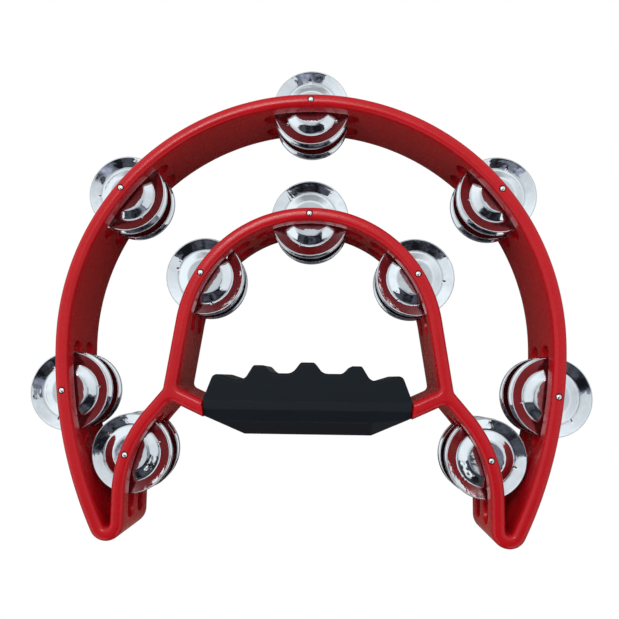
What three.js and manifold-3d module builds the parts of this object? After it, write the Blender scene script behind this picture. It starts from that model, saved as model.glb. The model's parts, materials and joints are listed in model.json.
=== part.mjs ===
// Hand tambourine with a double row of jingles: a moulded frame (rim, two legs, inner arch and handle bar),
// a rubber grip on the bar, ten steel pins and forty stamped jingles.
// Millimetres. +X right, +Y towards the top of the rim, +Z from the rear edge of the band to its front edge.
import * as THREE from 'three';
import { mergeVertices } from 'three/addons/utils/BufferGeometryUtils.js';
import Module from 'manifold-3d';

// The band that makes rim, legs and arch.
const DEPTH = 45;
const WALL = 6.8;
const EDGE_ROUNDING = 2.7;
const CHORD_ERROR = 0.2;
const CORNER_FILLET = 3;

// Mid-lines of the band, measured from the centre that the rim and the arch share.
const RIM_RADIUS = 124.6;
const SIDE_RADIUS = 210.6;
const TIP_LOW = -99.8;
const LEG_X = 92.9;
const LEG_BEND_RADIUS = 60;
const LEG_BEND_Y = -77;
const LEG_LEAN = 40;
const ARCH_RADIUS = 64.3;
const ARCH_SPLAY = 8.7;

// The handle bar, and the thinner core that it has under the grip.
const BAR = 7.5;
const BAR_SLOPE = 24.5;
const BAR_LEVEL_X = 46;
const CORE = 4.5;
const CORE_DEPTH = 25;
const CORE_OVERLAP = 4;

// The grip.
const GRIP_END_X = 51.6;
const GRIP_EDGE = 0.8;
const PALM_FLAT_X = 32.4;
const PALM_LOW = -48;
const PALM_END = -38.6;
const GAP = 0.3;
const RECESS_WIDTH = 30;

// Slots, pins and jingles.
const SLOT_HEIGHT = 10.4;
const ROW_OFFSET = 8.4;
const PIN_RADIUS = 1.5;
const PIN_FOOT = 4;
const PIN_HEAD_RISE = 0.5;
const PIN_DOME = 1;
const JINGLE_RADIUS = 20.2;
const JINGLE_HOLE = 2.5;
const JINGLE_SHEET = 0.5;
const JINGLE_DOME = 2.3;
const JINGLE_FLANGE = 2.3;
const JINGLE_SEGMENTS = 14;
const PIN_SEGMENTS = 10;
const PAIR_GAP = 1.6;

// Where the stations off the middle line are: angles about the arcs' centres, and the leg pin's height.
const RIM_UPPER_ANGLE = 38.4;
const RIM_SIDE_ANGLE = -7.3;
const ARCH_SIDE_ANGLE = 31.4;
const LEG_PIN_Y = -57.9;

// Each station holds one pin and, in each row, one slot: how far the slot reaches to both sides of the pin
// along the wall, and how far the cut goes inwards from the wall's mid-line there. Outwards it stops short of
// the next wall.
const RIM_SLOT = { up: 25.3, down: 25.3, inward: 8 };
const ARCH_SLOT = { up: 28.4, down: 28.4, inward: 12 };
const LEG_SLOT = { up: 24, down: 31, inward: 13.5 };
const SLOT_OUTWARD = 4.4;

const RED = { color: 0xb41420, roughness: 0.32, metalness: 0 };
const BLACK = { color: 0x1d2124, roughness: 0.78, metalness: 0 };
const STEEL = { color: 0xc9cbcd, roughness: 0.25, metalness: 1 };
const NICKEL = { color: 0xd9dcde, roughness: 0.12, metalness: 1 };

const wasm = await Module();
wasm.setup();

const radians = THREE.MathUtils.degToRad;
const point = (x, y) => new THREE.Vector2(x, y);
const polar = (angle, radius, centre = point(0, 0)) =>
  point(centre.x + radius * Math.cos(radians(angle)), centre.y + radius * Math.sin(radians(angle)));

// Points of an arc from one angle to another, in degrees, both ends included.
function arc(centre, radius, from, to) {
  const step = 2 * Math.acos(1 - CHORD_ERROR / Math.max(radius, 1));
  const steps = Math.max(2, Math.ceil(Math.abs(radians(to - from)) / step));
  return Array.from({ length: steps + 1 }, (_, i) => polar(from + ((to - from) * i) / steps, radius, centre));
}

// Where two lines meet, each given by a point and a direction.
function meet(a, alongA, b, alongB) {
  const reach = b.clone().sub(a).cross(alongB) / alongA.cross(alongB);
  return a.clone().addScaledVector(alongA, reach);
}

// A corner between the directions of two neighbouring points, rounded with an arc tangent to both sides.
function rounded(before, corner, after, radius) {
  const u = before.clone().sub(corner).normalize();
  const v = after.clone().sub(corner).normalize();
  const half = Math.acos(u.dot(v)) / 2;
  const centre = u.clone().add(v).normalize().multiplyScalar(radius / Math.sin(half)).add(corner);
  const start = u.multiplyScalar(radius / Math.tan(half)).add(corner).sub(centre);
  const end = v.multiplyScalar(radius / Math.tan(half)).add(corner).sub(centre);
  const from = THREE.MathUtils.radToDeg(start.angle());
  let turn = THREE.MathUtils.radToDeg(end.angle()) - from;
  if (turn > 180) turn -= 360;
  if (turn < -180) turn += 360;
  return arc(centre, radius, from, from + turn);
}

// A closed outline from its right half, which starts and ends on the middle line.
function mirrored(rightHalf) {
  const left = rightHalf.slice(1, -1).map((p) => point(-p.x, p.y));
  return [...rightHalf, ...left.reverse()];
}

// Band geometry that follows from the driving dimensions.
const middle = point(0, 0);
const sideCentre = point(RIM_RADIUS - SIDE_RADIUS, 0);
const legCentre = point(LEG_X - LEG_BEND_RADIUS, LEG_BEND_Y);
const legTop = polar(LEG_LEAN, LEG_BEND_RADIUS, legCentre);
const legUp = polar(LEG_LEAN + 90, 1);
const archFoot = polar(ARCH_SPLAY, ARCH_RADIUS);
const archDown = polar(ARCH_SPLAY - 90, 1);
const junction = meet(legTop, legUp, archFoot, archDown);
const barInward = polar(180 + BAR_SLOPE, 1);
const barNormal = polar(90 + BAR_SLOPE, 1);
const barLevelY = junction.y - (junction.x - BAR_LEVEL_X) * Math.tan(radians(BAR_SLOPE));

// The turn at the tip touches the side's arc and the leg, and its outside reaches down to TIP_LOW.
const tipAcross = LEG_X - sideCentre.x;
const tipDown = TIP_LOW + WALL / 2;
const tipSum = tipAcross + tipDown + SIDE_RADIUS;
const tipRadius = Math.sqrt(tipSum ** 2 - (tipAcross ** 2 + tipDown ** 2 - SIDE_RADIUS ** 2)) - tipSum;
const tipCentre = point(LEG_X + tipRadius, tipDown + tipRadius);
const tipStart = THREE.MathUtils.radToDeg(Math.atan2(tipCentre.y, tipCentre.x - sideCentre.x));

// The band from the top of the rim, round the tip and up the leg, moved outwards by an offset.
function rimToLeg(offset) {
  return [
    ...arc(middle, RIM_RADIUS + offset, 90, 0),
    ...arc(sideCentre, SIDE_RADIUS + offset, 0, tipStart).slice(1),
    ...arc(tipCentre, tipRadius + offset, tipStart, -180).slice(1),
    ...arc(legCentre, LEG_BEND_RADIUS - offset, 0, LEG_LEAN),
  ];
}

// A point of the bar's upper or lower edge at the junction, and where that edge turns level.
function barEdge(offset) {
  const start = junction.clone().addScaledVector(barNormal, -offset);
  const levelY = barLevelY - offset;
  return { start, level: meet(start, barInward, point(0, levelY), point(1, 0)), end: point(0, levelY) };
}

// The outside of the frame: rim, tip, inner side of the leg and lower edge of the bar.
function outerEdge() {
  const band = rimToLeg(WALL / 2);
  const bar = barEdge(BAR / 2);
  const corner = meet(band.at(-1), legUp, bar.start, barInward);
  const turn = rounded(band.at(-1), corner, bar.level, CORNER_FILLET);
  return mirrored([...band, ...turn, bar.level, bar.end]);
}

// The opening between the rim, the legs and the arch.
function rimOpening() {
  const band = rimToLeg(-WALL / 2);
  const side = polar(ARCH_SPLAY, ARCH_RADIUS + WALL / 2);
  const corner = meet(band.at(-1), legUp, side, archDown);
  const turn = rounded(band.at(-1), corner, side, CORNER_FILLET);
  return mirrored([...band, ...turn, ...arc(middle, ARCH_RADIUS + WALL / 2, ARCH_SPLAY, 90)]);
}

// The opening for the fingers, between the arch and the bar.
function handOpening() {
  const side = polar(ARCH_SPLAY, ARCH_RADIUS - WALL / 2);
  const bar = barEdge(-BAR / 2);
  const corner = meet(side, archDown, bar.start, barInward);
  const turn = rounded(side, corner, bar.level, CORNER_FILLET);
  return mirrored([...arc(middle, ARCH_RADIUS - WALL / 2, 90, ARCH_SPLAY), ...turn, bar.level, bar.end]);
}

// A closed three.js geometry as a solid that can be joined and cut.
function solid(geometry, matrix = new THREE.Matrix4()) {
  const bare = geometry.clone().applyMatrix4(matrix);
  bare.deleteAttribute('normal');
  bare.deleteAttribute('uv');
  const merged = mergeVertices(bare, 1e-4);
  const vertProperties = merged.attributes.position.array;
  const triVerts = new Uint32Array(merged.index.array);
  return new wasm.Manifold(new wasm.Mesh({ numProp: 3, vertProperties, triVerts }));
}

// A solid back as a three.js geometry.
function geometryOf(made) {
  const mesh = made.getMesh();
  const geometry = new THREE.BufferGeometry();
  geometry.setAttribute('position', new THREE.BufferAttribute(mesh.vertProperties, 3));
  geometry.setIndex(new THREE.BufferAttribute(mesh.triVerts, 1));
  const flat = geometry.toNonIndexed();
  flat.computeVertexNormals();
  return flat;
}

// A flat outline as a plate between two heights, with its edges rounded or chamfered inside the outline.
// Outline and holes all run clockwise, and the holes are turned round here.
function plate(outline, holes, low, high, edge = 0, edgeSteps = 2) {
  const shape = new THREE.Shape(outline);
  shape.holes = holes.map((hole) => new THREE.Path([...hole].reverse()));
  const bevel = { bevelEnabled: edge > 0, bevelSize: edge, bevelThickness: edge, bevelOffset: -edge };
  const options = { ...bevel, bevelSegments: edgeSteps, depth: high - low - 2 * edge, curveSegments: 1 };
  return new THREE.ExtrudeGeometry(shape, options).translate(0, 0, low + edge);
}

const box = (sizeX, sizeY, sizeZ, x, y, z) => new THREE.BoxGeometry(sizeX, sizeY, sizeZ).translate(x, y, z);

// A round bar along Z between two heights.
function rod(radius, low, high, x, y) {
  return new THREE.CylinderGeometry(radius, radius, high - low, PIN_SEGMENTS)
    .rotateX(Math.PI / 2)
    .translate(x, y, (low + high) / 2);
}

// Stations of the right half and the middle: the pin's place and the direction square to the wall there.
const legAngle = THREE.MathUtils.radToDeg(Math.asin((LEG_PIN_Y - LEG_BEND_Y) / LEG_BEND_RADIUS));
const halfStations = [
  { name: 'rim_top', angle: 90, radius: RIM_RADIUS, centre: middle, slot: RIM_SLOT },
  { name: 'rim_upper', angle: RIM_UPPER_ANGLE, radius: RIM_RADIUS, centre: middle, slot: RIM_SLOT },
  { name: 'rim', angle: RIM_SIDE_ANGLE, radius: SIDE_RADIUS, centre: sideCentre, slot: RIM_SLOT },
  { name: 'arch_top', angle: 90, radius: ARCH_RADIUS, centre: middle, slot: ARCH_SLOT },
  { name: 'arch', angle: ARCH_SIDE_ANGLE, radius: ARCH_RADIUS, centre: middle, slot: ARCH_SLOT },
  { name: 'leg', angle: legAngle, radius: LEG_BEND_RADIUS, centre: legCentre, slot: LEG_SLOT },
].map((s) => ({ ...s, place: polar(s.angle, s.radius, s.centre) }));

// Both sides' stations: a station off the middle line is there twice.
const stations = halfStations.flatMap((s) => {
  if (s.angle === 90) return [s];
  const left = { ...s, name: s.name + '_left', mirror: true };
  return [{ ...s, name: s.name + '_right' }, left];
});

// A slot's cutter: a plate with round ends that stands square to the wall.
function slotCutter({ angle, place, slot, mirror }, height) {
  const half = SLOT_HEIGHT / 2;
  const outline = [
    ...arc(point(slot.up - half, 0), half, -90, 90),
    ...arc(point(-slot.down + half, 0), half, 90, 270),
  ];
  const outward = polar(angle, 1);
  const along = polar(angle + 90, 1);
  const basis = new THREE.Matrix4().makeBasis(
    new THREE.Vector3(along.x, along.y, 0),
    new THREE.Vector3(0, 0, 1),
    new THREE.Vector3(outward.x, outward.y, 0),
  );
  basis.setPosition(place.x, place.y, height);
  const cutter = solid(plate(outline, [], -slot.inward, SLOT_OUTWARD), basis);
  return mirror ? cutter.mirror([1, 0, 0]) : cutter;
}

const rowHeights = { rear: DEPTH / 2 - ROW_OFFSET, front: DEPTH / 2 + ROW_OFFSET };

// The frame: one moulding with slots, pin bores and a thinner core where the grip sits.
function frameGeometry() {
  const body = solid(plate(outerEdge(), [rimOpening(), handOpening()], 0, DEPTH, EDGE_ROUNDING));
  const recess = box(2 * (GRIP_END_X + GAP), RECESS_WIDTH, 2 * DEPTH, 0, barLevelY, DEPTH / 2);
  const thinBar = core(CORE, CORE_DEPTH, GRIP_END_X + CORE_OVERLAP);
  let made = body.subtract(solid(recess)).add(solid(thinBar));
  for (const station of stations) {
    for (const height of Object.values(rowHeights)) made = made.subtract(slotCutter(station, height));
    const x = station.mirror ? -station.place.x : station.place.x;
    const bore = rod(PIN_RADIUS + GAP, PIN_FOOT - GAP, 2 * DEPTH, x, station.place.y);
    made = made.subtract(solid(bore));
  }
  return geometryOf(made);
}

// The bar's core: level in the middle, sloping up to both ends.
function core(thickness, depth, endX) {
  const endY = barLevelY + (endX - BAR_LEVEL_X) * Math.tan(radians(BAR_SLOPE));
  const shift = thickness / 2 / Math.cos(radians(BAR_SLOPE));
  const bend = (thickness / 2) * Math.tan(radians(BAR_SLOPE / 2));
  const half = [
    point(0, barLevelY + thickness / 2),
    point(BAR_LEVEL_X - bend, barLevelY + thickness / 2),
    point(endX, endY + shift),
    point(endX, endY - shift),
    point(BAR_LEVEL_X + bend, barLevelY - thickness / 2),
    point(0, barLevelY - thickness / 2),
  ];
  return plate(mirrored(half), [], (DEPTH - depth) / 2, (DEPTH + depth) / 2);
}

// The grip seen from the front: four finger grooves above, the palm side below. Each corner of the right
// half has x, y and its rounding.
const gripCorners = [
  [3.4, -11.4, 1.6],
  [7.6, -16.9, 5.5],
  [18, -16.9, 5],
  [21.8, -13, 1.8],
  [27, -13, 1.6],
  [31.4, -20.2, 4.5],
  [36, -20.2, 5],
  [44, -17.7, 2.6],
  [47.2, -17.7, 2],
  [GRIP_END_X, -29.5, 2],
  [GRIP_END_X, PALM_END, 0.9],
  [PALM_FLAT_X, PALM_LOW, 1.5],
];

function gripOutline() {
  const ends = [point(0, gripCorners[0][1]), point(0, PALM_LOW)];
  const row = [ends[0], ...gripCorners.map(([x, y]) => point(x, y)), ends[1]];
  const turns = gripCorners.flatMap((c, i) => rounded(row[i], row[i + 1], row[i + 2], c[2]));
  return mirrored([ends[0], ...turns, ends[1]]);
}

// The palm side's facets on the front half, as creases from the flat front towards the back: each has a
// height y and its distance from the front.
const PALM_CREASES = [
  [-31, 0],
  [-34.8, 1],
  [-41, 5.2],
  [PALM_LOW, 14],
];

const CUTTER = { length: 300, width: 60, depth: 30 };

// A cutter for everything beyond the plane through three corners, which run anticlockwise seen from outside.
function cutterBeyond(a, b, c) {
  const along = b.clone().sub(a).normalize();
  const normal = along.clone().cross(c.clone().sub(a)).normalize();
  const basis = new THREE.Matrix4().makeBasis(along, normal.clone().cross(along), normal).setPosition(a);
  return solid(box(CUTTER.length, CUTTER.width, CUTTER.depth, 0, 0, CUTTER.depth / 2), basis);
}

// A corner of the palm side's facets from its x and a crease.
const creaseCorner = (x, [y, inset]) => new THREE.Vector3(x, y, DEPTH - inset);

// The grip: a moulded sleeve round the bar's core. The sloping end facets are triangles: their crease with
// the facet above runs out to the lowest corner of the grip's end.
function gripGeometry() {
  const [, upper, lower, low] = PALM_CREASES;
  const endInset = THREE.MathUtils.mapLinear(PALM_END, upper[0], lower[0], upper[1], lower[1]);
  const endFacet = cutterBeyond(
    creaseCorner(PALM_FLAT_X, low),
    creaseCorner(GRIP_END_X, [PALM_END, endInset]),
    creaseCorner(PALM_FLAT_X, lower),
  );
  const facets = PALM_CREASES.slice(1).map((crease, i) => {
    const above = PALM_CREASES[i];
    return cutterBeyond(creaseCorner(0, crease), creaseCorner(1, crease), creaseCorner(0, above));
  });
  let made = solid(plate(gripOutline(), [], 0, DEPTH, GRIP_EDGE, 1));
  for (const facet of [...facets, endFacet, endFacet.mirror([1, 0, 0])]) {
    const rearFacet = facet.mirror([0, 0, 1]).translate([0, 0, DEPTH]);
    made = made.subtract(facet).subtract(rearFacet);
  }
  const channel = core(CORE + 2 * GAP, CORE_DEPTH + 2 * GAP, GRIP_END_X + CORE_OVERLAP);
  return geometryOf(made.subtract(solid(channel)));
}

// A pin: a plain shaft with a low domed head that stands a little proud of the band.
function pinGeometry() {
  const top = DEPTH + PIN_HEAD_RISE;
  const dome = [1, 0.8, 0.45, 0].map((share) => point(PIN_RADIUS * share, top - PIN_DOME * share * share));
  const profile = [point(0, PIN_FOOT), point(PIN_RADIUS, PIN_FOOT), ...dome];
  return new THREE.LatheGeometry(profile, PIN_SEGMENTS).rotateX(Math.PI / 2);
}

// A jingle: a thin disc with a raised, nearly flat centre, a low ring and a flared edge. Its low ring is at
// height 0 and the raised centre points along +Z.
function jingleGeometry() {
  const under = [
    point(JINGLE_HOLE, JINGLE_DOME),
    point(0.49 * JINGLE_RADIUS, JINGLE_DOME - 0.1),
    point(0.72 * JINGLE_RADIUS, 0),
    point(JINGLE_RADIUS, JINGLE_FLANGE),
  ];
  const over = under.map((p) => point(p.x, p.y + JINGLE_SHEET)).reverse();
  const profile = [...under, ...over, under[0].clone()];
  return new THREE.LatheGeometry(profile, JINGLE_SEGMENTS).rotateX(Math.PI / 2);
}

function named(name, geometry, finish) {
  const mesh = new THREE.Mesh(geometry, new THREE.MeshStandardMaterial(finish));
  mesh.name = name;
  return mesh;
}

// One station: its pin and, in each row, two jingles with their raised centres pointing away from each other.
function stationGroup({ name, place, mirror }) {
  const group = new THREE.Group();
  group.position.set(mirror ? -place.x : place.x, place.y, 0);
  group.add(named(`pin_${name}`, pinGeometry(), STEEL));
  for (const [row, height] of Object.entries(rowHeights)) {
    const near = named(`jingle_${name}_${row}_near`, jingleGeometry(), NICKEL);
    near.position.z = height + PAIR_GAP / 2;
    const far = named(`jingle_${name}_${row}_far`, jingleGeometry(), NICKEL);
    far.position.z = height - PAIR_GAP / 2;
    far.rotation.x = Math.PI;
    group.add(near, far);
  }
  return group;
}

// The origin is the middle of the whole instrument's footprint, on the plane of the rear edge.
const highest = RIM_RADIUS + JINGLE_RADIUS;
const assembly = new THREE.Group();
assembly.position.y = -(highest + TIP_LOW) / 2;
assembly.add(named('frame', frameGeometry(), RED));
assembly.add(named('grip', gripGeometry(), BLACK));
for (const station of stations) assembly.add(stationGroup(station));

const tambourine = new THREE.Group();
tambourine.add(assembly);

export default tambourine;
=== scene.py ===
import json
import math
import random

import bmesh
import bpy
import numpy as np
from mathutils import Matrix, Vector
from mathutils.geometry import delaunay_2d_cdt

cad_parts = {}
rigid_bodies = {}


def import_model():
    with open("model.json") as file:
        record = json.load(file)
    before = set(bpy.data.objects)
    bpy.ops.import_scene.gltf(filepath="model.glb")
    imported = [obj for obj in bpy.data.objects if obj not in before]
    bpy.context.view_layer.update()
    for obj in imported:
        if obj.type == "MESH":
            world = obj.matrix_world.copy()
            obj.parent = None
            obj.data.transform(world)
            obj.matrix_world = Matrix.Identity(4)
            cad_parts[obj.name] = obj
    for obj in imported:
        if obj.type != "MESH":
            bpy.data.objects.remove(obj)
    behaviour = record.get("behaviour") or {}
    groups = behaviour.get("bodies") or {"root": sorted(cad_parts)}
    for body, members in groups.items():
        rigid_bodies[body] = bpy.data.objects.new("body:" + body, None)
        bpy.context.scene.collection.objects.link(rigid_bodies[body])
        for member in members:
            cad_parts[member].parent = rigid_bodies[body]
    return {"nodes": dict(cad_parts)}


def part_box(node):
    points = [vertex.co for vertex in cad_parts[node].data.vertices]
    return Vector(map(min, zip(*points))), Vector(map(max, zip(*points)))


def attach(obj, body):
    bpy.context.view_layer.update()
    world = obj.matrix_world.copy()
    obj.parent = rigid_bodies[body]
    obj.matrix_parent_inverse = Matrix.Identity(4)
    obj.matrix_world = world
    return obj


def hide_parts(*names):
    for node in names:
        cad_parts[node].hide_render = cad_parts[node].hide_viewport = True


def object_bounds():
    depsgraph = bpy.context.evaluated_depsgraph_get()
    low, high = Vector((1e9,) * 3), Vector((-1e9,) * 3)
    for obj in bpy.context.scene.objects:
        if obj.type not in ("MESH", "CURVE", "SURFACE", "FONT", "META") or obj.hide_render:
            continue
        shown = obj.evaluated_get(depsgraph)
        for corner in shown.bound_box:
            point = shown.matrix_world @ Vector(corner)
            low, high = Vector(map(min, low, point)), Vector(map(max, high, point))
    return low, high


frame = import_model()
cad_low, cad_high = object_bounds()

# Lengths in this script are millimetres until a mesh is made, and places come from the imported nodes.
MM = 0.001

# The band of the frame: wall thickness, rounding of its front and rear edges, and its mid-lines.
WALL = 6.8
EDGE = 2.7
EDGE_STEPS = 7
RIM_RADIUS = 124.6
SIDE_RADIUS = 210.6
LEG_X = 92.9
LEG_BEND_RADIUS = 60.0
LEG_BEND_Y = -77.0
LEG_LEAN = 40.0
ARCH_RADIUS = 64.3
ARCH_SPLAY = 8.7
FILLET = 3.0
BAR = 7.5
BAR_SLOPE = 24.5
BAR_LEVEL_X = 46.0
BAR_BELOW_Y = -20.0
SAMPLE_STEP = 2.0
CORNER_STEP = 0.6
TIP_STEP = 0.7
WALL_ROWS = 11

# The slots: height, rounding of their edges, and how far they reach along the wall from the pin.
SLOT_HEIGHT = 10.4
SLOT_EDGE = 0.7
SLOT_EDGE_STEPS = 4
SLOT_TURN_STEPS = 12
SLOT_REACH = {"rim": (25.3, 25.3), "arch": (28.4, 28.4), "leg": (24.0, 31.0)}
SLOT_MARGIN = 0.7
SLOT_CLEAR = 45

rng = random.Random(7)


# ---------------------------------------------------------------------------------------------- places

def node_box(name):
    """Lowest and highest corner of a CAD node in millimetres."""
    low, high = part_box(name)
    return np.array(low) / MM, np.array(high) / MM


frame_low, frame_high = node_box("frame")
DEPTH = frame_high[2] - frame_low[2]
CENTRE_Y = frame_high[1] - RIM_RADIUS - WALL / 2
TIP_LOW = frame_low[1] - CENTRE_Y
STATIONS = [n[len("pin_"):] for n in sorted(frame["nodes"]) if n.startswith("pin_")]


def pin_place(station):
    """The pin's axis, measured from the centre that rim and arch share."""
    low, high = node_box("pin_" + station)
    middle = (low + high) / 2
    return np.array([middle[0], middle[1] - CENTRE_Y])


def row_heights(station):
    """Mid-height of the rear and of the front slot, from the jingles that sit in them."""
    heights = {}
    for row in ("rear", "front"):
        near = node_box(f"jingle_{station}_{row}_near")
        far = node_box(f"jingle_{station}_{row}_far")
        heights[row] = (near[1][2] + far[0][2]) / 2
    return heights


# ------------------------------------------------------------------------------------- outline of frame

def polar(angle, radius, centre=(0.0, 0.0)):
    a = math.radians(angle)
    return np.array([centre[0] + radius * math.cos(a), centre[1] + radius * math.sin(a)])


def meet(a, along_a, b, along_b):
    """Where two lines meet, each given by a point and a direction."""
    cross = along_a[0] * along_b[1] - along_a[1] * along_b[0]
    d = b - a
    return a + along_a * ((d[0] * along_b[1] - d[1] * along_b[0]) / cross)


def arc_run(centre, radius, start, end, step=SAMPLE_STEP):
    """Points of an arc with the direction left of travel, from one angle to another."""
    count = max(6, math.ceil(abs(math.radians(end - start)) * radius / step))
    sign = 1 if end > start else -1
    run = []
    for i in range(count + 1):
        a = start + (end - start) * i / count
        run.append((polar(a, radius, centre), -sign * polar(a, 1)))
    return run


def line_run(a, b, step=SAMPLE_STEP):
    """Points of a straight stretch with the direction left of travel."""
    along = (b - a) / np.linalg.norm(b - a)
    left = np.array([-along[1], along[0]])
    count = max(1, math.ceil(np.linalg.norm(b - a) / step))
    return [(a + (b - a) * i / count, left) for i in range(count + 1)]


def corner_run(before, corner, after, radius):
    """An arc that rounds a corner, tangent to both sides."""
    u = (before - corner) / np.linalg.norm(before - corner)
    v = (after - corner) / np.linalg.norm(after - corner)
    half = math.acos(float(np.dot(u, v))) / 2
    middle = (u + v) / np.linalg.norm(u + v)
    centre = corner + middle * radius / math.sin(half)
    reach = radius / math.tan(half)
    start, end = corner + u * reach - centre, corner + v * reach - centre
    a = math.degrees(math.atan2(start[1], start[0]))
    turn = (math.degrees(math.atan2(end[1], end[0])) - a + 180) % 360 - 180
    return arc_run(centre, radius, a, a + turn, CORNER_STEP)


def joined(*runs):
    """Runs one after another, joined by straight stretches where they don't touch."""
    out = list(runs[0])
    for run in runs[1:]:
        gap = np.linalg.norm(run[0][0] - out[-1][0])
        if gap < 1e-6:
            out += run[1:]
        else:
            out += line_run(out[-1][0], run[0][0])[1:-1] + run
    return out


side_centre = np.array([RIM_RADIUS - SIDE_RADIUS, 0.0])
leg_centre = np.array([LEG_X - LEG_BEND_RADIUS, LEG_BEND_Y])
leg_top, leg_up = polar(LEG_LEAN, LEG_BEND_RADIUS, leg_centre), polar(LEG_LEAN + 90, 1)
arch_foot, arch_down = polar(ARCH_SPLAY, ARCH_RADIUS), polar(ARCH_SPLAY - 90, 1)
junction = meet(leg_top, leg_up, arch_foot, arch_down)
bar_inward, bar_normal = polar(180 + BAR_SLOPE, 1), polar(90 + BAR_SLOPE, 1)


def tip_circle():
    """Centre and mid-line radius of the turn at the tip: it touches the side's arc and the leg."""
    across, down = LEG_X - side_centre[0], TIP_LOW + WALL / 2
    total = across + down + SIDE_RADIUS
    radius = math.sqrt(total ** 2 - (across ** 2 + down ** 2 - SIDE_RADIUS ** 2)) - total
    return np.array([LEG_X + radius, down + radius]), radius


tip_centre, tip_radius = tip_circle()
tip_start = math.degrees(math.atan2(tip_centre[1], tip_centre[0] - side_centre[0]))


def rim_to_leg(offset):
    """The band from the top of the rim, round the tip and up the leg, moved outwards by an offset."""
    return joined(
        arc_run((0, 0), RIM_RADIUS + offset, 90, 0),
        arc_run(side_centre, SIDE_RADIUS + offset, 0, tip_start),
        arc_run(tip_centre, tip_radius + offset, tip_start, -180, TIP_STEP),
        arc_run(leg_centre, LEG_BEND_RADIUS - offset, 0, LEG_LEAN),
    )


def bar_end(offset, end_x):
    """Where a bar edge, moved down by an offset, reaches an x, and a point of it at the junction."""
    start = junction - bar_normal * offset
    return start, meet(start, bar_inward, np.array([end_x, 0.0]), np.array([0.0, 1.0]))


def outside_half(end_x):
    """Right half of the outside: rim, tip, leg, the bar up to its end under the grip, and inside of arch."""
    band = rim_to_leg(WALL / 2)
    low_start, low_end = bar_end(BAR / 2, end_x)
    corner = meet(band[-1][0], leg_up, low_start, bar_inward)
    turn = corner_run(band[-1][0], corner, low_end, FILLET)
    lower = line_run(turn[-1][0], low_end)
    high_start, high_end = bar_end(-BAR / 2, end_x)
    side = polar(ARCH_SPLAY, ARCH_RADIUS - WALL / 2)
    corner = meet(side, arch_down, high_start, bar_inward)
    turn_up = corner_run(high_end, corner, side, FILLET)
    upper = line_run(high_end, turn_up[0][0])
    arch = arc_run((0, 0), ARCH_RADIUS - WALL / 2, ARCH_SPLAY, 90)
    return joined(band, turn, lower) + joined(upper, turn_up, arch)


def opening_half():
    """Right half of the opening between rim, legs and arch."""
    band = rim_to_leg(-WALL / 2)
    side = polar(ARCH_SPLAY, ARCH_RADIUS + WALL / 2)
    corner = meet(band[-1][0], leg_up, side, arch_down)
    turn = corner_run(band[-1][0], corner, side, FILLET)
    return joined(band, turn, arc_run((0, 0), ARCH_RADIUS + WALL / 2, ARCH_SPLAY, 90))


class Loop:
    """A closed outline: points, directions away from the material, and distance along it."""

    def __init__(self, half, away):
        mirror = np.array([-1.0, 1.0])
        left = [(p * mirror, n * mirror) for p, n in reversed(half[1:-1])]
        self.points = np.array([p for p, _ in half + left])
        self.normals = np.array([n for _, n in half + left]) * away
        steps = np.linalg.norm(np.roll(self.points, -1, 0) - self.points, axis=1)
        self.s = np.concatenate([[0], np.cumsum(steps)])
        self.length = self.s[-1]

    def at(self, s):
        """Points at distances along the loop."""
        closed = np.vstack([self.points, self.points[:1]])
        s = np.mod(s, self.length)
        return np.stack([np.interp(s, self.s, closed[:, k]) for k in (0, 1)], -1)

    def stretch(self, place, along, towards, reach):
        """Distances and tangential coordinates of the stretch that faces a station from one side."""
        count = len(self.points)
        rel = self.points - place
        near = int(np.argmin(np.linalg.norm(rel - towards * WALL / 2, axis=1)))
        rows = []
        for sign in (-1, 1):
            k, last = near, rel[near] @ along
            side = []
            direction = None
            while len(side) < count // 2:
                k2 = (k + sign) % count
                u = rel[k2] @ along
                if direction is None:
                    direction = np.sign(u - last)
                if (u - last) * direction <= 0 or abs(u) > reach:
                    break
                jump = self.s[k2] - self.s[k]
                jump = (jump + self.length / 2) % self.length - self.length / 2
                side.append((jump, u))
                k, last = k2, u
            rows.append(side)
        s0 = self.s[near]
        table = [(s0, rel[near] @ along)]
        for jump, u in rows[1]:
            table.append((table[-1][0] + jump, u))
        back = [(s0, rel[near] @ along)]
        for jump, u in rows[0]:
            back.append((back[-1][0] + jump, u))
        table = np.array(back[:0:-1] + table)
        return table[np.argsort(table[:, 1])]


# ------------------------------------------------------------------------------------- mesh of the frame

class Builder:
    """Collects vertices and faces in millimetres, measured from the centre that rim and arch share."""

    def __init__(self):
        self.verts, self.faces = [], []

    def add(self, points):
        start = sum(len(v) for v in self.verts)
        self.verts.append(np.asarray(points, float))
        return start + np.arange(len(points))

    def quads(self, a, b, closed=True):
        """Faces between two rows of vertices with the same count."""
        count = len(a)
        for i in range(count if closed else count - 1):
            j = (i + 1) % count
            self.faces.append((a[i], a[j], b[j], b[i]))

    def mesh(self, name, shift=(0, 0, 0), weld=0.004):
        points = (np.concatenate(self.verts) + np.array(shift)) * MM
        data = bpy.data.meshes.new(name)
        data.from_pydata(points.tolist(), [], [tuple(int(i) for i in f) for f in self.faces])
        bm = bmesh.new()
        bm.from_mesh(data)
        bmesh.ops.remove_doubles(bm, verts=bm.verts, dist=weld * MM)
        bmesh.ops.recalc_face_normals(bm, faces=bm.faces)
        bm.to_mesh(data)
        bm.free()
        return data


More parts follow.
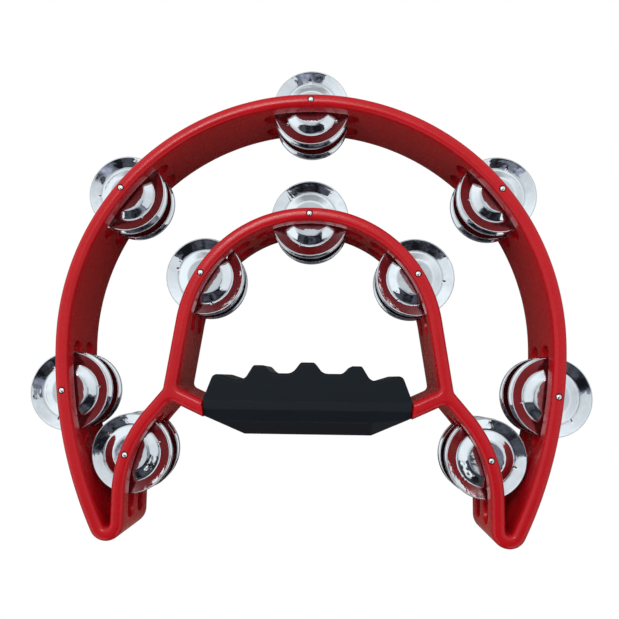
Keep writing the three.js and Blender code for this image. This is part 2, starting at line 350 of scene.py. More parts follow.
def stadium(up, down, height):
    """A slot's outline: coordinates along the wall and across the band, and directions out of the slot."""
    r = height / 2
    points, out = [], []

    def side(u0, u1, h, direction):
        count = math.ceil(abs(u1 - u0) / SAMPLE_STEP)
        for i in range(count):
            points.append((u0 + (u1 - u0) * i / count, h))
            out.append((0, direction))

    def turn(u, a0):
        for i in range(SLOT_TURN_STEPS):
            a = math.radians(a0 + 180 * i / SLOT_TURN_STEPS)
            points.append((u + r * math.cos(a), r * math.sin(a)))
            out.append((math.cos(a), math.sin(a)))

    side(-down + r, up - r, -r, -1)
    turn(up - r, -90)
    side(up - r, -down + r, r, 1)
    turn(-down + r, 90)
    return np.array(points), np.array(out)


def wall_centre(station):
    """Centre of the arc that the wall follows at a station."""
    if station in ("rim_left", "rim_right"):
        centre = side_centre
    else:
        centre = leg_centre if station.startswith("leg") else np.zeros(2)
    return centre * np.array([-1.0, 1.0]) if station.endswith("left") else centre


class Slot:
    """One slot: its outline square to the wall and the two faces of the wall that it joins."""

    def __init__(self, station, height, loops):
        self.place = pin_place(station)
        self.height = height
        kind = station.split("_")[0]
        up, down = SLOT_REACH[kind]
        centre = wall_centre(station)
        self.outward = (self.place - centre) / np.linalg.norm(self.place - centre)
        self.along = np.array([-self.outward[1], self.outward[0]])
        if self.place[0] < -1e-3:
            self.along = -self.along
        self.outline, self.out = stadium(up, down, SLOT_HEIGHT)
        outer, inner = loops[kind]
        reach = max(up, down) + 8
        self.sides = [
            (outer, outer.stretch(self.place, self.along, self.outward, reach), 1),
            (inner, inner.stretch(self.place, self.along, -self.outward, reach), -1),
        ]

    def ring(self, side, inset, sink):
        """The outline grown on one face of the wall and sunk into the wall: 3-D points and (s, z)."""
        loop, table, sign = self.sides[side]
        uh = self.outline + self.out * inset
        s = np.interp(uh[:, 0], table[:, 1], table[:, 0])
        flat = loop.at(s) - np.outer(np.full(len(s), sink * sign), self.outward)
        z = self.height + uh[:, 1]
        return np.column_stack([flat, z]), np.column_stack([s, z])


def strip(builder, loop, slots):
    """The wall between the rounded edges along one outline, with the slots' mouths left open."""
    low, high = EDGE, DEPTH - EDGE
    cuts = [(slot, side) for slot in slots for side in (0, 1) if slot.sides[side][0] is loop]
    rows = np.linspace(low, high, WALL_ROWS)
    count = len(loop.points)
    grid_s = loop.s[:-1]
    start = find_free_start(loop, cuts)
    order = (start + np.arange(count + 1)) % count
    columns = grid_s[order] + np.where(order < start, loop.length, 0)
    columns[-1] = grid_s[start] + loop.length
    holes = []
    for slot, side in cuts:
        space, flat = slot.ring(side, SLOT_EDGE, 0)
        offset = 0 if flat[0, 0] >= columns[0] else loop.length
        if flat[0, 0] + offset > columns[-1]:
            offset -= loop.length
        holes.append((flat + np.array([offset, 0]), space))
    coords, points3 = [], []
    for k, s in enumerate(columns):
        p = loop.points[order[k]]
        for j, z in enumerate(rows):
            edge_row = j in (0, WALL_ROWS - 1)
            if edge_row or not any(near_hole((s, z), hole[0], SLOT_MARGIN) for hole in holes):
                coords.append((s, z))
                points3.append((p[0], p[1], z))
    edges = []
    for flat, space in holes:
        base = len(coords)
        coords += [tuple(c) for c in flat]
        points3 += [tuple(c) for c in space]
        edges += [(base + i, base + (i + 1) % len(flat)) for i in range(len(flat))]
    made = delaunay_2d_cdt([Vector(c) for c in coords], edges, [], 0, 1e-7)
    out_verts, tris, origin = made[0], made[2], made[3]
    lookup = []
    for k, sources in enumerate(origin):
        if not sources:
            raise ValueError("the wall's outlines cross each other")
        lookup.append(points3[sources[0]])
    ids = builder.add(lookup)
    centres = triangle_centres(out_verts, tris)
    keep = np.ones(len(tris), bool)
    for flat, _ in holes:
        keep &= ~inside(centres, flat)
    for t, wanted in zip(tris, keep):
        if wanted:
            builder.faces.append(tuple(ids[i] for i in t))


def triangle_centres(verts, tris):
    return np.array([[sum(verts[i][a] for i in t) / 3 for a in (0, 1)] for t in tris])


def find_free_start(loop, cuts):
    """An index of the loop that no slot is near."""
    blocked = np.zeros(len(loop.points), bool)
    for slot, _ in cuts:
        blocked |= np.linalg.norm(loop.points - slot.place, axis=1) < SLOT_CLEAR
    return int(np.argmin(blocked))


def near_hole(point, outline, margin):
    """Whether a point is in an outline or closer to it than a margin."""
    low, high = outline.min(0) - margin, outline.max(0) + margin
    if not (low[0] < point[0] < high[0] and low[1] < point[1] < high[1]):
        return False
    if np.min(np.linalg.norm(outline - np.array(point), axis=1)) < margin * 1.6:
        return True
    return bool(inside(np.array([point]), outline)[0])


def inside(points, outline):
    """Which points are in a closed outline."""
    x, y = points[:, 0], points[:, 1]
    result = np.zeros(len(points), bool)
    for (x0, y0), (x1, y1) in zip(outline, np.roll(outline, -1, 0)):
        crosses = (y0 > y) != (y1 > y)
        if abs(y1 - y0) > 1e-12:
            result ^= crosses & (x < (x1 - x0) * (y - y0) / (y1 - y0) + x0)
    return result


def edge_rows(builder, loop, z_edge, z_out, end_x):
    """The rounded edge along one outline, from the wall to the crown: the crown's vertices and places."""
    last = None
    for k in range(EDGE_STEPS + 1):
        a = math.pi / 2 * k / EDGE_STEPS
        flat = loop.points - loop.normals * EDGE * (1 - math.cos(a))
        under_grip = (np.abs(flat[:, 0]) < end_x) & (flat[:, 1] < BAR_BELOW_Y)
        flat[under_grip, 0] = np.sign(flat[under_grip, 0]) * end_x
        z = np.full(len(flat), z_edge + (z_out - z_edge) * math.sin(a))
        ids = builder.add(np.column_stack([flat, z]))
        if last is not None:
            builder.quads(last, ids)
        last = ids
    return last, flat


def crown(builder, outer, inner, outer_ids, inner_ids):
    """The narrow flat top of an edge, between the outside and the opening."""
    coords = [Vector(p) for p in np.vstack([outer, inner])]
    n, m = len(outer), len(inner)
    edges = [(i, (i + 1) % n) for i in range(n)] + [(n + i, n + (i + 1) % m) for i in range(m)]
    made = delaunay_2d_cdt(coords, edges, [], 0, 1e-7)
    out_verts, tris, origin = made[0], made[2], made[3]
    ids = np.concatenate([outer_ids, inner_ids])
    centres = triangle_centres(out_verts, tris)
    keep = inside(centres, outer) & ~inside(centres, inner)
    for t, wanted in zip(tris, keep):
        if wanted:
            builder.faces.append(tuple(int(ids[origin[i][0]]) for i in t))


def tunnel(builder, slot):
    """The walls of a slot, with rounded edges where they meet the faces of the band."""
    steps = [math.pi / 2 * k / SLOT_EDGE_STEPS for k in range(SLOT_EDGE_STEPS + 1)]
    rings, far = (
        [slot.ring(side, SLOT_EDGE * (1 - math.sin(a)), SLOT_EDGE * (1 - math.cos(a)))[0] for a in steps]
        for side in (0, 1)
    )
    far.reverse()
    rings += [rings[-1] * (1 - t) + far[0] * t for t in (1 / 3, 2 / 3)] + far
    last = None
    for ring in rings:
        ids = builder.add(ring)
        if last is not None:
            builder.quads(last, ids)
        last = ids


def make_frame_mesh(end_x):
    outside = Loop(outside_half(end_x), 1)
    opening = Loop(opening_half(), -1)
    loops = {"rim": (outside, opening), "arch": (opening, outside), "leg": (opening, outside)}
    slots = [
        Slot(station, height, loops)
        for station in STATIONS
        for height in row_heights(station).values()
    ]
    builder = Builder()
    for loop in (outside, opening):
        strip(builder, loop, slots)
    for z_edge, z_out in ((EDGE, 0.0), (DEPTH - EDGE, DEPTH)):
        outer_ids, outer = edge_rows(builder, outside, z_edge, z_out, end_x)
        inner_ids, inner = edge_rows(builder, opening, z_edge, z_out, end_x)
        crown(builder, outer, inner, outer_ids, inner_ids)
    for slot in slots:
        tunnel(builder, slot)
    return builder.mesh("frame_moulding", (0, CENTRE_Y, 0))


# --------------------------------------------------------------------------------- solids and their cuts

CRISP_ANGLE = 38
FINE_WELD = 0.0005
PIN_TURNS = 40


def link_object(name, data):
    obj = bpy.data.objects.new(name, data)
    bpy.context.scene.collection.objects.link(obj)
    return obj


def add_object(name, data):
    """A new object in the scene with smooth faces and crisp corners."""
    data.polygons.foreach_set("use_smooth", [True] * len(data.polygons))
    data.set_sharp_from_angle(angle=math.radians(CRISP_ANGLE))
    return link_object(name, data)


def boolean(data, others, operation):
    """A mesh with others joined to it or cut from it."""
    base = link_object("base", data)
    tools = []
    for other in others:
        tool = link_object("tool", other)
        modifier = base.modifiers.new("cut", "BOOLEAN")
        modifier.operation = operation
        modifier.solver = "EXACT"
        modifier.object = tool
        tools.append(tool)
    bpy.context.view_layer.update()
    made = bpy.data.meshes.new_from_object(base.evaluated_get(bpy.context.evaluated_depsgraph_get()))
    for obj in tools + [base]:
        bpy.data.objects.remove(obj)
    return made


def lathe(profile, angles):
    """A ring or solid turned about Z from a profile of (radius, height), with its ends on the axis or not."""
    builder = Builder()
    turns = [(math.cos(a), math.sin(a)) for a in angles]
    rows = []
    for r, z in profile:
        if r < 1e-6:
            rows.append(builder.add([(0, 0, z)]))
        else:
            rows.append(builder.add([(r * c, r * s, z) for c, s in turns]))
    if len(rows[0]) > 1:
        rows.append(rows[0])
    count = len(angles)
    for a, b in zip(rows, rows[1:]):
        if len(a) > 1 and len(b) > 1:
            builder.quads(a, b)
            continue
        for i in range(count):
            j = (i + 1) % count
            ring, tip = (b, a) if len(a) == 1 else (a, b)
            builder.faces.append((tip[0], ring[i], ring[j]))
    return builder


def even_angles(count):
    return [2 * math.pi * i / count for i in range(count)]


# ----------------------------------------------------------------------------------------- bar and grip

GRIP_END = node_box("grip")[1][0]
GAP = 0.3
CORE, CORE_DEPTH = 4.5, 25.0
CORE_OVERLAP = 3
CHANNEL_OVERRUN = 4
BAR_LEVEL_Y = junction[1] - (junction[0] - BAR_LEVEL_X) * math.tan(math.radians(BAR_SLOPE))


def core_builder(thickness, depth, end_x):
    """The thinner part of the bar that the grip sits on: level in the middle and sloping up at both ends."""
    rise = (end_x - BAR_LEVEL_X) * math.tan(math.radians(BAR_SLOPE))
    half = thickness / 2
    bend = half * math.tan(math.radians(BAR_SLOPE / 2))
    shift = half / math.cos(math.radians(BAR_SLOPE))
    right = [
        (BAR_LEVEL_X + bend, BAR_LEVEL_Y - half),
        (end_x, BAR_LEVEL_Y + rise - shift),
        (end_x, BAR_LEVEL_Y + rise + shift),
        (BAR_LEVEL_X - bend, BAR_LEVEL_Y + half),
    ]
    outline = right + [(-x, y) for x, y in reversed(right)]
    builder = Builder()
    low = builder.add([(x, y, (DEPTH - depth) / 2) for x, y in outline])
    high = builder.add([(x, y, (DEPTH + depth) / 2) for x, y in outline])
    builder.quads(low, high)
    builder.faces += [tuple(low), tuple(reversed(high))]
    return builder


# The grip's right half from the front, measured from the centre that rim and arch share. The finger side's
# corners have x, y and rounding, from the middle to the end.
FINGER_SIDE = [
    (3.4, -11.4, 1.6), (7.6, -16.9, 5.5), (18.0, -16.9, 5.0), (21.8, -13.0, 1.8), (27.0, -13.0, 1.6),
    (31.4, -20.2, 4.5), (36.0, -20.2, 5.0), (44.0, -17.7, 6.0), (47.2, -17.7, 2.9), (51.6, -29.5, 2.0),
]
# The palm side is level up to PALM_FLAT_X and rises to PALM_END at the grip's end. Its creases, the last of
# which is its lowest line, have y and the fall from the front face.
PALM_FLAT_X, PALM_LOW, PALM_END = 32.4, -48.0, -38.6
PALM_CREASES = [(-31.0, 0.0), (-34.8, 1.0), (-41.0, 5.2), (PALM_LOW, 14.0)]
GRIP_EDGE = 1.2
GRIP_END_EDGE = 0.3
CREASE_EDGE = 0.22
GRIP_STEP = 0.7
# Rows of a cut through the grip: finger side, its rounding, each crease's facet, the lowest facet, and the
# rounding and face of the palm side.
FINGER_ROWS, ROUND_ROWS, FACET_ROWS, LOW_ROWS, PALM_ROWS = 8, 6, (14, 6, 9), 9, 5
LEAST_ROW = 0.02
GRIP_END_ROWS = 4


def finger_outline():
    """Places along the finger side, from the middle to where the end face starts."""
    last = (FINGER_SIDE[-1][0], PALM_END)
    row = [(0.0, FINGER_SIDE[0][1])] + [c[:2] for c in FINGER_SIDE] + [last]
    runs = [[(np.array(row[0]), None)]]
    for k, (_, _, radius) in enumerate(FINGER_SIDE):
        before, corner, after = (np.array(row[k + i]) for i in range(3))
        runs.append(corner_run(before, corner, after, radius))
    points = np.array([p for p, _ in joined_points(runs)])
    return points[points[:, 0] < GRIP_END - LEAST_ROW]


def joined_points(runs):
    """Runs without directions, one after another, joined by straight stretches."""
    out = list(runs[0])
    for run in runs[1:]:
        out += [(p, None) for p, _ in line_run(out[-1][0], run[0][0], GRIP_STEP)[1:-1]] + run
    return out


def palm_creases(x):
    """The palm side's creases and lowest line at an x: y and fall from the front face."""
    share = max(0.0, abs(x) - PALM_FLAT_X) / (GRIP_END - PALM_FLAT_X)
    flat, upper, lower, low = PALM_CREASES
    end_fall = upper[1] + (lower[1] - upper[1]) * (upper[0] - PALM_END) / (upper[0] - lower[0])
    rising = [(y + (PALM_END - y) * share, fall + (end_fall - fall) * share) for y, fall in (lower, low)]
    return [flat, upper] + rising


def grip_section(x, top, inset):
    """Front half of a cut through the grip at an x, from the finger side to the palm side: y and z."""
    creases = palm_creases(x)
    falls = np.array(creases[::-1])
    low = creases[-1][0] + inset
    top = top - inset
    front = DEPTH - inset
    edge = GRIP_EDGE
    middle = DEPTH / 2
    half = [(top, middle + (front - edge - middle) * i / FINGER_ROWS) for i in range(FINGER_ROWS)]
    for i in range(ROUND_ROWS + 1):
        a = math.pi / 2 * i / ROUND_ROWS
        half.append((top - edge * (1 - math.cos(a)), front - edge + edge * math.sin(a)))
    end = low + edge * 0.7
    heights = []
    above = top - edge
    for (y, _), count in zip(creases, FACET_ROWS):
        first = y + CREASE_EDGE
        heights += [above + (first - above) * i / count for i in range(1, count + 1)]
        heights += [y, y - CREASE_EDGE]
        above = y - CREASE_EDGE
    heights += [above + (end - above) * i / LOW_ROWS for i in range(1, LOW_ROWS + 1)]
    last = len(heights) - 1
    heights = [max(y, end + LEAST_ROW * (last - i)) for i, y in enumerate(heights)]

    def surface(y):
        return front - np.interp(y, falls[:, 0], falls[:, 1])

    half += [(y, surface(y)) for y in heights]
    corner = np.array([low, surface(low)])
    begin, finish = np.array(half[-1]), corner - np.array([0, edge])
    shares = [i / PALM_ROWS for i in range(1, PALM_ROWS + 1)]
    half += [tuple((1 - t) ** 2 * begin + 2 * t * (1 - t) * corner + t ** 2 * finish) for t in shares]
    half += [(low, finish[1] + (middle - finish[1]) * t) for t in shares]
    return half


def make_grip_mesh():
    outline = finger_outline()
    places = [x for x, _ in outline if x < GRIP_END - 1.2 * GRIP_END_EDGE]
    places += [PALM_FLAT_X + CREASE_EDGE * k for k in (-1, 0, 1)]
    cuts = [(x, np.interp(x, outline[:, 0], outline[:, 1]), 0.0) for x in sorted(places)]
    for i in range(GRIP_END_ROWS + 1):
        a = math.pi / 2 * i / GRIP_END_ROWS
        x = GRIP_END - GRIP_END_EDGE * (1 - math.sin(a))
        cuts.append((x, np.interp(x, outline[:, 0], outline[:, 1]), GRIP_END_EDGE * (1 - math.cos(a))))
    cuts = [(-x, top, inset) for x, top, inset in reversed(cuts[1:])] + cuts
    builder = Builder()
    rows = []
    for x, top, inset in cuts:
        half = grip_section(x, top, inset)
        whole = half + [(y, DEPTH - z) for y, z in reversed(half[1:-1])]
        rows.append(builder.add([(x, y, z) for y, z in whole]))
    for a, b in zip(rows, rows[1:]):
        builder.quads(a, b)
    builder.faces += [tuple(rows[0]), tuple(reversed(rows[-1]))]
    sleeve = builder.mesh("grip_sleeve", (0, CENTRE_Y, 0))
    channel = core_builder(CORE + 2 * GAP, CORE_DEPTH + 2 * GAP, GRIP_END + CHANNEL_OVERRUN)
    return boolean(sleeve, [channel.mesh("channel", (0, CENTRE_Y, 0))], "DIFFERENCE")


# -------------------------------------------------------------------------------------- pins and jingles

PIN_CHAMFER = 0.4
PIN_HEAD = 1.0
PIN_HEAD_ROWS = 9
PIN_LOW_RING = 5


def make_pin_mesh():
    """A pin with a chamfered foot and a low domed head, its foot at height 0."""
    low, high = node_box("pin_" + STATIONS[0])
    radius, length = (high[0] - low[0]) / 2, high[2] - low[2]
    neck = length - PIN_HEAD
    profile = [(0, 0), (radius - PIN_CHAMFER, 0)]
    profile += [(radius, height) for height in (PIN_CHAMFER, PIN_LOW_RING, neck)]
    for i in range(1, PIN_HEAD_ROWS):
        a = math.pi / 2 * i / PIN_HEAD_ROWS
        profile.append((radius * math.cos(a) ** 0.8, neck + PIN_HEAD * math.sin(a)))
    profile.append((0, length))
    return lathe(profile, even_angles(PIN_TURNS)).mesh("pin", weld=FINE_WELD)


JINGLE_SHEET = 0.45
JINGLE_LOWEST = 0.04
# The punch marks of a jingle. The place and width of their raised rim are shares of their radius. Each one
# spans a few degrees of the jingle's grid, which is finer there.
DENTS = 3
DENT_RADIUS, DENT_DEPTH, DENT_PLACE = 0.85, 0.45, 14.9
DENT_RIM_PLACE, DENT_RIM_WIDTH, DENT_RIM_HEIGHT = 1.15, 0.22, 0.05
DENT_SPAN, DENT_PARTS, PLAIN_PARTS = 9, 10, 26
# The upper face of a jingle: radius and height, from the hole to the rolled edge.
JINGLE_FACE = [
    (2.5, 2.44), (2.62, 2.56), (3.0, 2.6), (4.5, 2.63), (6.0, 2.68), (7.4, 2.74), (8.2, 2.78),
    (8.7, 2.785), (9.1, 2.74), (9.5, 2.63), (9.9, 2.46), (10.6, 2.1), (11.4, 1.69), (12.2, 1.28),
    (12.9, 0.92), (13.4, 0.68), (13.75, 0.55), (14.05, 0.5), (14.35, 0.5), (14.65, 0.56), (15.0, 0.69),
    (15.5, 0.915), (16.4, 1.325), (17.4, 1.78), (18.4, 2.236), (19.1, 2.555), (19.38, 2.69), (19.56, 2.8),
    (19.75, 2.86), (19.92, 2.84), (20.07, 2.75), (20.16, 2.6), (20.18, 2.46),
]
# Where its lower face turns up into the rolled edge, and the lower corner of its hole.
JINGLE_LIP_UNDER = [(20.1, 2.34), (19.95, 2.3)]
JINGLE_HOLE_UNDER = (2.5, 2.2)


def dent_angles():
    """Angles of a jingle's grid, closer together at its three punch marks."""
    angles = []
    apart, half = 360 / DENTS, DENT_SPAN / 2
    for k in range(DENTS):
        start = k * apart
        angles += [start - half + DENT_SPAN * i / DENT_PARTS for i in range(DENT_PARTS + 1)]
        angles += [start + half + (apart - DENT_SPAN) * i / PLAIN_PARTS for i in range(1, PLAIN_PARTS)]
    return [math.radians(a) for a in angles]


def make_jingle_mesh():
    """A stamped jingle, its low ring at height 0 and its raised centre towards +Z."""
    under = [(r, z - JINGLE_SHEET) for r, z in reversed(JINGLE_FACE[1:-3])]
    builder = lathe(JINGLE_FACE + JINGLE_LIP_UNDER + under + [JINGLE_HOLE_UNDER], dent_angles())
    points = np.concatenate(builder.verts)
    for k in range(DENTS):
        a = math.radians(360 / DENTS * k)
        centre = DENT_PLACE * np.array([math.cos(a), math.sin(a)])
        away = np.linalg.norm(points[:, :2] - centre, axis=1) / DENT_RADIUS
        points[:, 2] -= DENT_DEPTH * np.where(away < 1, (1 - away ** 2) ** 2, 0)
        points[:, 2] += DENT_RIM_HEIGHT * np.exp(-((away - DENT_RIM_PLACE) / DENT_RIM_WIDTH) ** 2)
    points[:, 2] = np.maximum(points[:, 2], JINGLE_LOWEST)
    builder.verts = [points]
    return builder.mesh("jingle", weld=FINE_WELD)


# --------------------------------------------------------------------------------------------- materials

# Colours in linear light. Each pair of tones is mixed by a noise.
RED_TONES = (0.335, 0.0026, 0.0056), (0.378, 0.0036, 0.0074)
RUBBER_TONES = (0.0024, 0.0044, 0.0068), (0.0035, 0.0058, 0.0084)
# A lighter rubber tone, mixed in as painted light on a palm facet and the right end, and as a painted
# highlight with wear on the creases.
RUBBER_PAINTED_LIGHT_AND_WEAR = (0.0135, 0.016, 0.0195)
DUST = (0.10, 0.10, 0.10)
STEEL_TONES = (0.56, 0.56, 0.55), (0.40, 0.40, 0.39)
NICKEL_TONES = (0.572, 0.585, 0.600), (0.39, 0.39, 0.395)

# The painted highlight along the rubber's creases, also patchy wear, reaches this far to both sides, and the
# painted light on one facet fades over this far.
CREASE_HIGHLIGHT_REACH = 0.6
FACET_FADE = 0.1


class Nodes:
    """A node tree with short helpers. The scale of a noise is per metre."""

    def __init__(self, tree):
        self.tree = tree

    def node(self, kind, **values):
        node = self.tree.nodes.new(kind)
        for key, value in values.items():
            if hasattr(node, key):
                setattr(node, key, value)
            else:
                node.inputs[key.replace("_", " ")].default_value = value
        return node

    def link(self, output, target):
        self.tree.links.new(output, target)

    def place(self, kind="Object"):
        return self.node("ShaderNodeTexCoord").outputs[kind]

    def axes(self, vector):
        """The X, Y and Z of a vector."""
        node = self.node("ShaderNodeSeparateXYZ")
        self.link(vector, node.inputs[0])
        return node.outputs

    def noise(self, scale, detail=3.0, place=None, rough=0.5):
        node = self.node("ShaderNodeTexNoise", Scale=scale, Detail=detail, Roughness=rough)
        self.link(place or self.place(), node.inputs["Vector"])
        return node.outputs["Fac"]

    def ramp(self, value, low, high, out_low, out_high):
        node = self.node("ShaderNodeMapRange")
        self.link(value, node.inputs["Value"])
        for key, v in (("From Min", low), ("From Max", high), ("To Min", out_low), ("To Max", out_high)):
            node.inputs[key].default_value = v
        return node.outputs["Result"]

    def math(self, operation, a, b=None):
        node = self.node("ShaderNodeMath", operation=operation)
        for k, v in enumerate((a, b)):
            if v is None:
                continue
            if isinstance(v, (int, float)):
                node.inputs[k].default_value = v
            else:
                self.link(v, node.inputs[k])
        return node.outputs["Value"]

    def mix(self, share, a, b):
        node = self.node("ShaderNodeMix", data_type="RGBA")
        self.link(share, node.inputs["Factor"])
        for key, v in (("A", a), ("B", b)):
            socket = [s for s in node.inputs if s.name == key and s.type == "RGBA"][0]
            if isinstance(v, tuple):
                socket.default_value = v + (1,)
            else:
                self.link(v, socket)
        return [s for s in node.outputs if s.type == "RGBA"][0]

    def bump(self, height, distance, strength=1.0, below=None):
        node = self.node("ShaderNodeBump", Strength=strength, Distance=distance)
        self.link(height, node.inputs["Height"])
        if below is not None:
            self.link(below, node.inputs["Normal"])
        return node.outputs["Normal"]

    def camera_sees(self, seen, otherwise):
        """One shader for the camera's own rays and another for all other rays."""
        path, mix = self.node("ShaderNodeLightPath"), self.node("ShaderNodeMixShader")
        self.link(path.outputs["Is Camera Ray"], mix.inputs["Fac"])
        self.link(otherwise.outputs[0], mix.inputs[1])
        self.link(seen.outputs[0], mix.inputs[2])
        return mix.outputs[0]


class Finish(Nodes):
    """A node material and its main shader."""

    def __init__(self, name):
        self.material = bpy.data.materials.new(name)
        self.material.use_nodes = True
        super().__init__(self.material.node_tree)
        self.shader = self.tree.nodes["Principled BSDF"]

    def set(self, **values):
        for key, value in values.items():
            self.shader.inputs[key.replace("_", " ")].default_value = value

    def drive(self, socket, output):
        self.link(output, self.shader.inputs[socket])

    def show(self, output):
        self.link(output, self.tree.nodes["Material Output"].inputs["Surface"])


def red_plastic():
    """Glossy moulded plastic: faint waviness, fine hairline wear and a slightly uneven colour."""
    f = Finish("red_plastic")
    cloud = f.noise(38.0, 4.0)
    f.drive("Base Color", f.mix(f.ramp(cloud, 0.3, 0.7, 0, 1), *RED_TONES))
    scuff = f.ramp(f.noise(260.0, 6.0, rough=0.7), 0.45, 0.75, 0.0, 0.12)
    f.drive("Roughness", f.math("ADD", scuff, f.ramp(cloud, 0.3, 0.7, 0.20, 0.26)))
    f.set(IOR=1.49, Specular_IOR_Level=0.20)
    wave = f.bump(f.noise(330.0, 2.0), 0.00006, 0.5)
    f.drive("Normal", f.bump(f.noise(4200.0, 3.0), 0.000012, 0.5, wave))
    return f.material


def black_rubber():
    """Matte moulded rubber: fine grain, soft blotches, pale dust; painted highlight and wear on creases,
    painted light on a facet and the end.
    """
    f = Finish("black_rubber")
    blotch = f.noise(55.0, 4.0)
    tone = f.mix(f.ramp(blotch, 0.3, 0.7, 0, 1), *RUBBER_TONES)
    place_y = f.axes(f.place())["Y"]
    facing = f.axes(f.place("Normal"))

    def crease(k, shift=0.0):
        return (PALM_CREASES[k][0] + CENTRE_Y + shift) * MM

    # Painted highlight along each palm crease, made patchy like wear.
    crease_highlight_and_wear = None
    for k in range(3):
        away = f.math("ABSOLUTE", f.math("SUBTRACT", place_y, crease(k)))
        line = f.ramp(away, 0.0, CREASE_HIGHLIGHT_REACH * MM, 1.0, 0.0)
        crease_highlight_and_wear = line if crease_highlight_and_wear is None else f.math("MAXIMUM", crease_highlight_and_wear, line)
    uneven = f.ramp(f.noise(300.0, 4.0), 0.35, 0.65, 0.2, 1.0)
    crease_highlight_and_wear = f.math("MULTIPLY", f.math("MULTIPLY", crease_highlight_and_wear, uneven), 0.7)
    # Painted light: the facet between the first two creases is made lighter, as if lit from below.
    above = f.ramp(place_y, crease(1, -FACET_FADE), crease(1, FACET_FADE), 0, 1)
    below = f.ramp(place_y, crease(0, -FACET_FADE), crease(0, FACET_FADE), 1, 0)
    facet_painted_light = f.math("MULTIPLY", f.math("MULTIPLY", above, below), 0.42)
    # Painted light: palm faces turned to the right are made lighter, as if lit from the right.
    palm = f.ramp(facing["Y"], -0.7, -0.6, 1.0, 0.0)
    end_painted_light = f.math("MULTIPLY", f.ramp(facing["X"], 0.012, 0.035, 0.0, 0.5), palm)
    # The crease highlight and wear, and the painted light, lighten the rubber's tone.
    painted_light_and_wear = f.math("MAXIMUM", f.math("MAXIMUM", crease_highlight_and_wear, facet_painted_light), end_painted_light)
    tone = f.mix(painted_light_and_wear, tone, RUBBER_PAINTED_LIGHT_AND_WEAR)
    speck = f.ramp(f.noise(900.0, 2.0), 0.79, 0.82, 0, 0.6)
    f.drive("Base Color", f.mix(speck, tone, DUST))
    f.drive("Roughness", f.ramp(blotch, 0.3, 0.7, 0.58, 0.70))
    f.set(IOR=1.45, Specular_IOR_Level=0.14, Sheen_Weight=0.05, Sheen_Roughness=0.3)
    f.drive("Normal", f.bump(f.noise(3000.0, 4.0, rough=0.65), 0.00005, 0.6))
    return f.material


def turned_place(f, radial, around):
    """A place on a turned piece as radius and direction, each with its own scale."""
    axes = f.axes(f.place())
    radius = f.math("SQRT", f.math("ADD", f.math("POWER", axes["X"], 2), f.math("POWER", axes["Y"], 2)))
    off_axis = f.math("ADD", radius, 1e-5)
    join = f.node("ShaderNodeCombineXYZ")
    f.link(f.math("MULTIPLY", radius, radial), join.inputs["X"])
    for axis, target in (("X", "Y"), ("Y", "Z")):
        f.link(f.math("MULTIPLY", f.math("DIVIDE", axes[axis], off_axis), around), join.inputs[target])
    return join.outputs["Vector"]


def plated_metal(name, tones, low, high, lines):
    """Bright plating, a little uneven on each piece, with circular hairlines and small dull stains.

    Its roughness goes from low to high with the stains, and the hairlines add up to lines.
    """
    f = Finish(name)
    hairline = f.noise(1.0, 3.0, turned_place(f, 9000.0, 3.0))
    info = f.node("ShaderNodeObjectInfo")
    own = f.node("ShaderNodeVectorMath", operation="ADD")
    f.link(f.place(), own.inputs[0])
    f.link(info.outputs["Random"], own.inputs[1])
    own = own.outputs["Vector"]
    stain = f.noise(110.0, 5.0, own)
    shade = f.math("ADD", f.ramp(stain, 0.5, 0.8, 0.0, 0.6), f.math("MULTIPLY", info.outputs["Random"], 0.15))
    f.drive("Base Color", f.mix(shade, *tones))
    rough = f.math("ADD", f.ramp(stain, 0.4, 0.75, low, high), f.ramp(hairline, 0.4, 0.8, 0.0, lines))
    f.drive("Roughness", rough)
    f.set(Metallic=0.993)
    swell = f.bump(f.noise(95.0, 2.0, own), 0.0004, 0.7)
    ripple = f.bump(f.noise(330.0, 2.0, own), 0.00014, 0.5, swell)
    f.drive("Normal", f.bump(hairline, 0.000004, 0.5, ripple))
    return f.material


# ------------------------------------------------------------------------------------------ the pieces

def finish_piece(obj, material, body, nodes):
    obj.data.materials.clear()
    obj.data.materials.append(material)
    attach(obj, body)
    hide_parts(*nodes)


BORE_OVERRUN = 3


def make_frame():
    bar_end_x = GRIP_END + GAP
    moulding = make_frame_mesh(bar_end_x)
    core = core_builder(CORE, CORE_DEPTH, bar_end_x + CORE_OVERLAP).mesh("core", (0, CENTRE_Y, 0))
    moulding = boolean(moulding, [core], "UNION")
    bores = []
    for station in STATIONS:
        x, y = pin_place(station)
        low, high = node_box("pin_" + station)
        radius, bottom = (high[0] - low[0]) / 2 + GAP, low[2] - GAP
        top = DEPTH + BORE_OVERRUN
        bore = lathe([(0, bottom), (radius, bottom), (radius, top), (0, top)], even_angles(PIN_TURNS))
        bores.append(bore.mesh("bore", (x, y + CENTRE_Y, 0)))
    return add_object("frame_moulding", boolean(moulding, bores, "DIFFERENCE"))


red, rubber = red_plastic(), black_rubber()
steel = plated_metal("pin_steel", STEEL_TONES, 0.14, 0.24, 0.1)
nickel = plated_metal("jingle_nickel", NICKEL_TONES, 0.04, 0.09, 0.03)

finish_piece(make_frame(), red, "root", ["frame"])
finish_piece(add_object("grip_sleeve", make_grip_mesh()), rubber, "root", ["grip"])

# How the loose jingles rest. Each pair leans about two directions of the wall, and each jingle a little more
# on its own, in degrees. Each sits off the pin's axis, across and down, in millimetres.
PAIR_LEAN = 1.2, 0.35
OWN_LEAN = 0.12
SAG_ACROSS, SAG_DOWN = (-0.3, 0.3), (-0.75, -0.15)


def random_turn(most):
    return math.radians(rng.uniform(-most, most))


